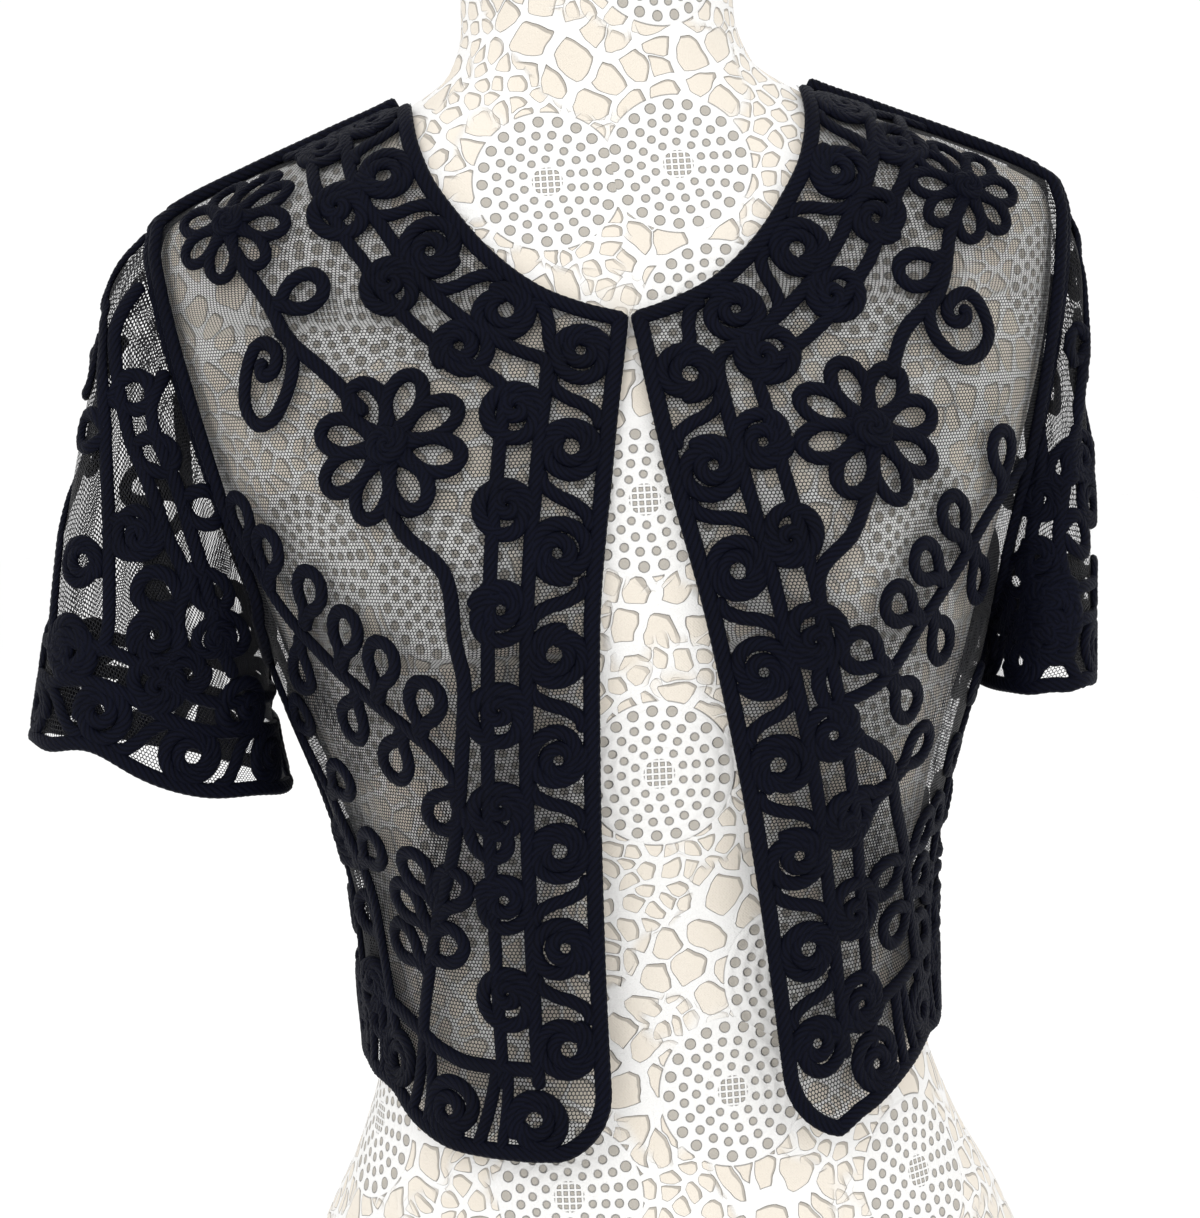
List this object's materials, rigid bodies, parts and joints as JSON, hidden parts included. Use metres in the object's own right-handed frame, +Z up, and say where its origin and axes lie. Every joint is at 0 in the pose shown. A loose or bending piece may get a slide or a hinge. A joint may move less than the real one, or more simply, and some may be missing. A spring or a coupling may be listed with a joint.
{
  "type": "cardigan on dress form",
  "caption": "Short-sleeved open-front bolero cardigan of black net with corded flower and scroll work, worn by a limbless dress form",
  "frame": {"origin": "middle of the flat underside of the dress form", "axes": "+Z up, fronts face -Y, +X is the wearer's left"},
  "size_m": [0.4499, 0.2474, 0.668],
  "materials": {
    "form_cover": "cream cloth under white crochet lace",
    "net": "sheer black net",
    "cord": "twisted blue-black cord"
  },
  "bodies": {
    "root": {"dress_form": "form_cover", "front_left": "net", "front_right": "net", "back": "net", "sleeve_left": "net", "sleeve_right": "net", "cord_front_left": "cord", "cord_front_right": "cord", "cord_sleeve_left": "cord", "cord_sleeve_right": "cord", "cord_back_neck": "cord", "cord_back": "cord"}
  },
  "joints": []
}
